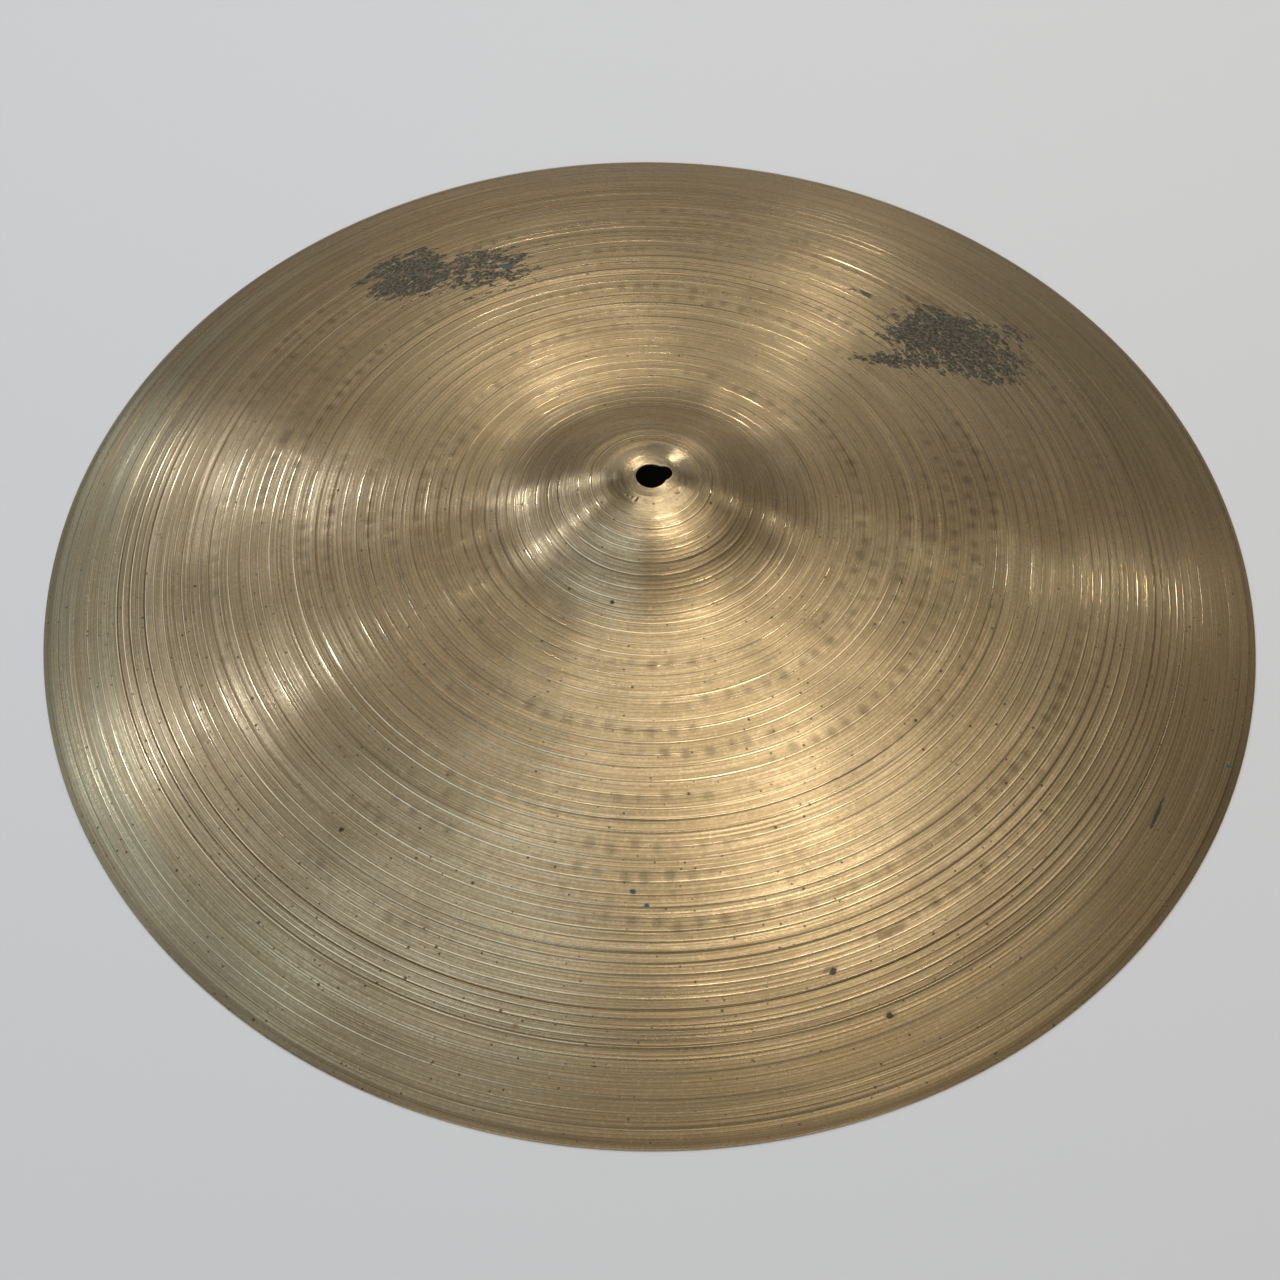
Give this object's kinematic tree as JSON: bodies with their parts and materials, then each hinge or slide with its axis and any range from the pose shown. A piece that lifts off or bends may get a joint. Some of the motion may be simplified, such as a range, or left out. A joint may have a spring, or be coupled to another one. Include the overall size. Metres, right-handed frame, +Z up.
{
  "type": "ride cymbal",
  "caption": "Shallow domed bronze disc with a raised bell, a worn central hole and a tapered round edge, struck as a ride cymbal.",
  "frame": {"origin": "on the axis of the centre hole, level with the lowest point of the edge", "axes": "+Z up through the bell, along the centre hole; +X to the right as played, the worn notch in the hole lies 18 degrees from +X towards +Y"},
  "size_m": [0.508, 0.508, 0.0505],
  "materials": {
    "bronze": "lathed bell bronze, hammered, unlacquered, with patina"
  },
  "bodies": {
    "root": {"cymbal": "bronze"}
  },
  "joints": []
}
